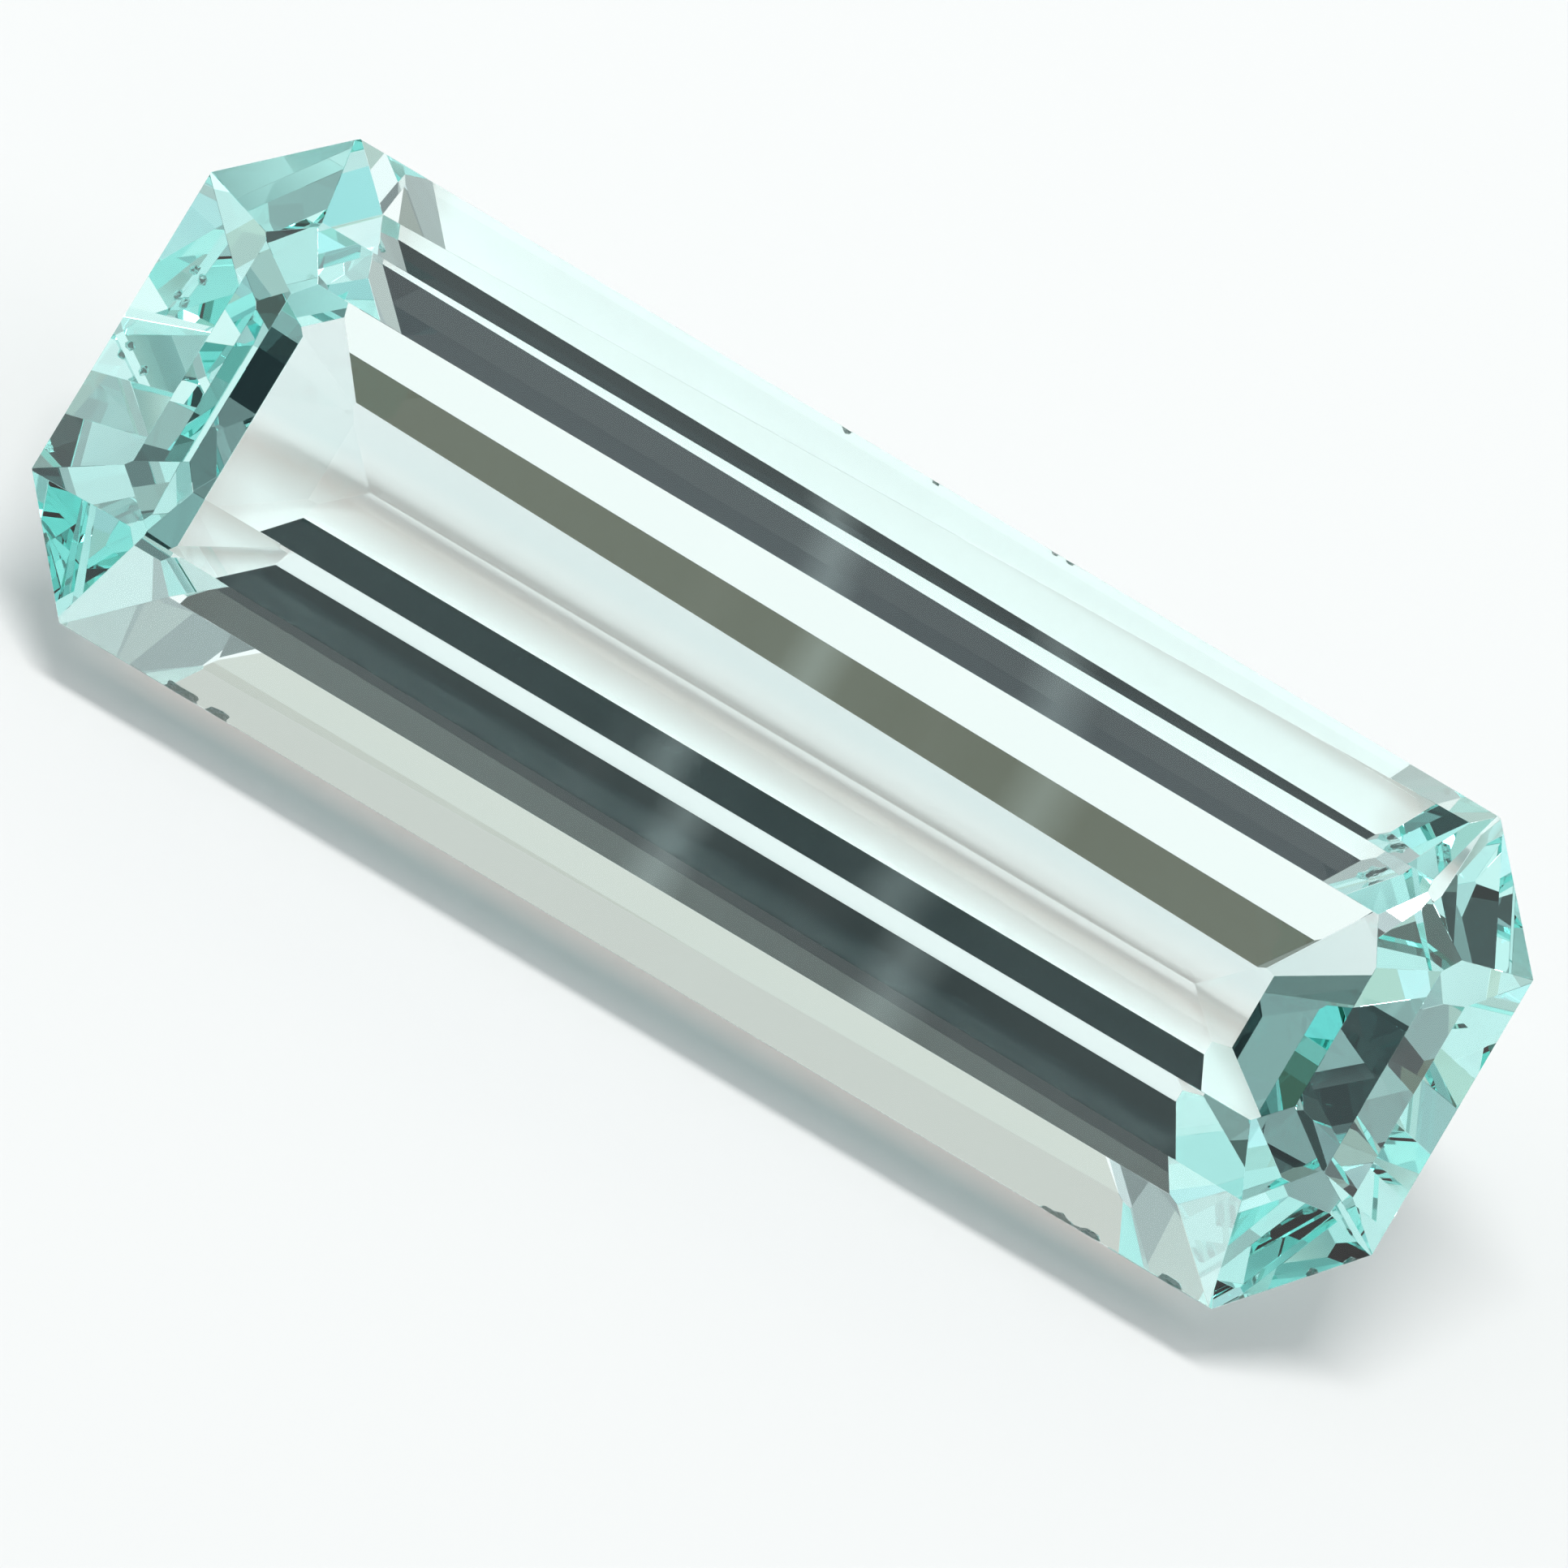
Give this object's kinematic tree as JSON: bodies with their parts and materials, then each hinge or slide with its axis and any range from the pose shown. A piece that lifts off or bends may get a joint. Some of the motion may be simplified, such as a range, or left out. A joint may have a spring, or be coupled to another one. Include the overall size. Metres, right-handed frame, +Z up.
{
  "type": "faceted aquamarine gemstone",
  "caption": "Loose pale blue-green beryl in a long step cut with cut corners, lying on one long facet of its pavilion.",
  "frame": {"origin": "centre of the bounding box in plan, on the surface that the stone lies on", "axes": "+X along the stone, +Z up from the surface it lies on, table facing up and towards -Y"},
  "size_m": [0.026, 0.0078, 0.0068],
  "materials": {
    "clear_beryl": "polished, clear"
  },
  "bodies": {
    "root": {"faceted_aquamarine": "clear_beryl"}
  },
  "joints": []
}
